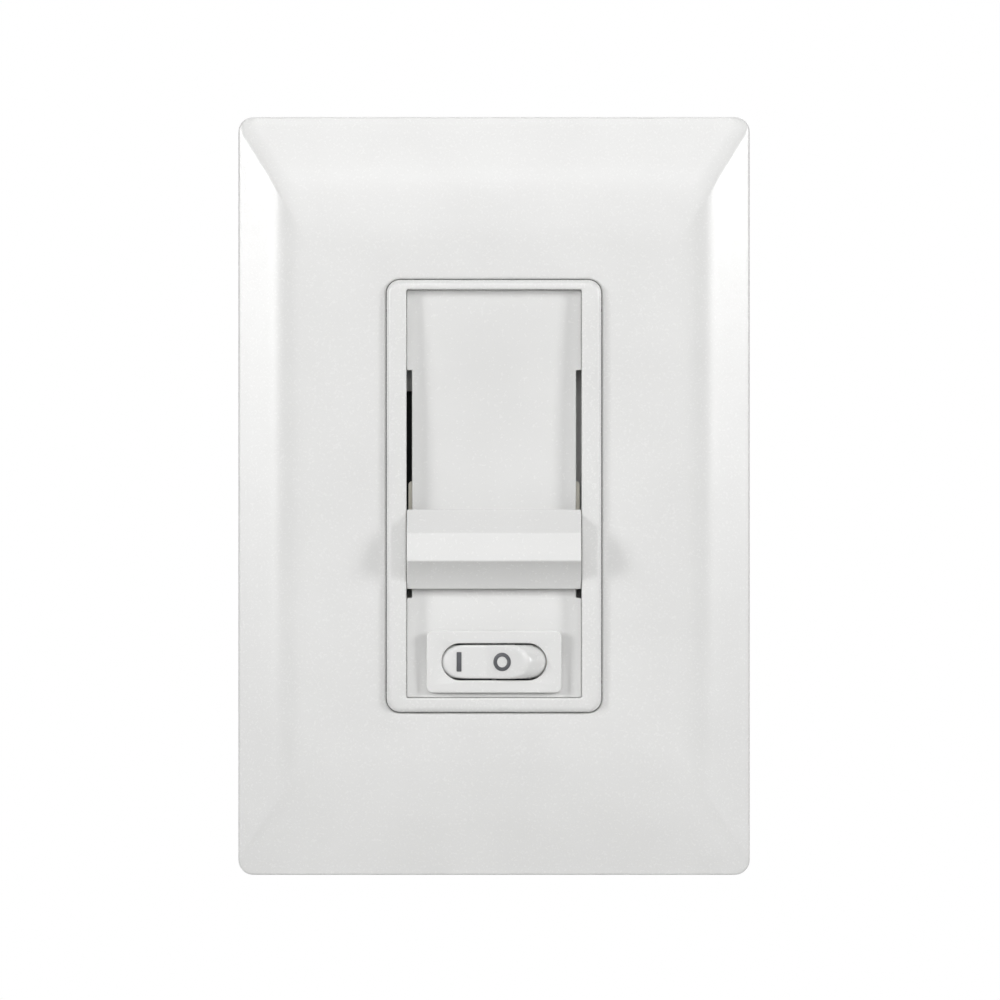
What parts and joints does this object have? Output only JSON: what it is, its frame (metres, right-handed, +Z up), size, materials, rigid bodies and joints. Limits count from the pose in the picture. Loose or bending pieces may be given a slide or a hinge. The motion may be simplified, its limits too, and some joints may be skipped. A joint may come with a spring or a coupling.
{
  "type": "dimmer slide switch",
  "caption": "Single-gang slide dimmer with a wide slider and a small on/off rocker, on a metal strap behind a white screwless wall plate, with a black back housing.",
  "frame": {"origin": "centre of the wall plate on the wall plane, where the cover's rim and the strap's ears rest", "axes": "+Z up along the plate's long side, +Y into the wall box, so the plate faces -Y; +X to the right seen from the room"},
  "size_m": [0.079, 0.0416, 0.1172],
  "materials": {
    "white_polycarbonate": "fine satin",
    "blackened_steel": "matt black",
    "white_polypropylene": "satin sheet",
    "black_nylon": "matt moulded",
    "natural_acetal": "satin",
    "aluminium_sheet": "rolled, satin",
    "zinc_plated_steel": "bright zinc plate",
    "brass": "bright",
    "green_steel": "green dyed zinc plate",
    "copper": "bright",
    "vulcanised_fibre": "matt",
    "ferrite": "matt",
    "phenolic_board": "satin",
    "green_circuit_board": "solder mask",
    "red_film_capacitor": "gloss dipped",
    "lacquered_resistor": "gloss lacquer"
  },
  "bodies": {
    "root": {"back_housing": "black_nylon", "box_screw_bottom": "zinc_plated_steel", "box_screw_top": "zinc_plated_steel", "captive_washer_bottom": "vulcanised_fibre", "captive_washer_top": "vulcanised_fibre", "centre_contact": "brass", "choke_bobbin": "natural_acetal", "choke_core": "ferrite", "choke_winding": "copper", "circuit_board": "green_circuit_board", "diac": "lacquered_resistor", "face_bezel": "white_polycarbonate", "face_panel": "white_polycarbonate", "film_capacitor_large": "red_film_capacitor", "film_capacitor_small": "red_film_capacitor", "fixed_contact": "brass", "ground_clamp_plate": "brass", "ground_screw": "green_steel", "housing_screw_1": "zinc_plated_steel", "housing_screw_2": "zinc_plated_steel", "housing_screw_3": "zinc_plated_steel", "housing_screw_4": "zinc_plated_steel", "insulating_sheet": "white_polypropylene", "mounting_strap": "aluminium_sheet", "mounting_subplate": "white_polycarbonate", "potentiometer_case": "blackened_steel", "potentiometer_track": "phenolic_board", "resistor_1": "lacquered_resistor", "resistor_2": "lacquered_resistor", "rocker_axle": "zinc_plated_steel", "rocker_cradle": "black_nylon", "rocker_escutcheon": "white_polycarbonate", "subplate_screw_bottom": "zinc_plated_steel", "subplate_screw_top": "zinc_plated_steel", "terminal_clamp_line": "brass", "terminal_clamp_load": "brass", "terminal_clamp_traveller": "brass", "terminal_screw_line": "brass", "terminal_screw_load": "brass", "terminal_screw_traveller": "brass", "terminal_strip_line": "brass", "terminal_strip_load": "brass", "terminal_strip_traveller": "brass", "triac": "black_nylon", "triac_insulator": "vulcanised_fibre", "triac_screw": "zinc_plated_steel", "wall_plate_cover": "white_polycarbonate"},
    "slider": {"slider_knob": "white_polycarbonate", "slider_carriage": "natural_acetal", "potentiometer_lever": "natural_acetal", "potentiometer_wiper": "copper"},
    "rocker": {"rocker_button": "white_polycarbonate", "rocker_plunger": "natural_acetal", "rocker_spring": "zinc_plated_steel"},
    "contact_arm": {"contact_blade": "copper"}
  },
  "joints": [
    {"name": "dim_slide", "type": "slide", "parent": "root", "child": "slider", "axis": [0, 0, 1], "range_m": [0, 0.02]},
    {"name": "rocker_tilt", "type": "hinge", "parent": "root", "child": "rocker", "pos_m": [0, -0.00136, -0.02555], "axis": [0, 0, 1], "range_deg": [0, 20]},
    {"name": "contact_tilt", "type": "hinge", "parent": "root", "child": "contact_arm", "pos_m": [0, 0.00645, -0.02555], "axis": [0, 0, 1], "range_deg": [-12, 0]}
  ],
  "couplings": [
    {"joint": "contact_tilt", "follows": "rocker_tilt", "ratio": -0.6}
  ]
}
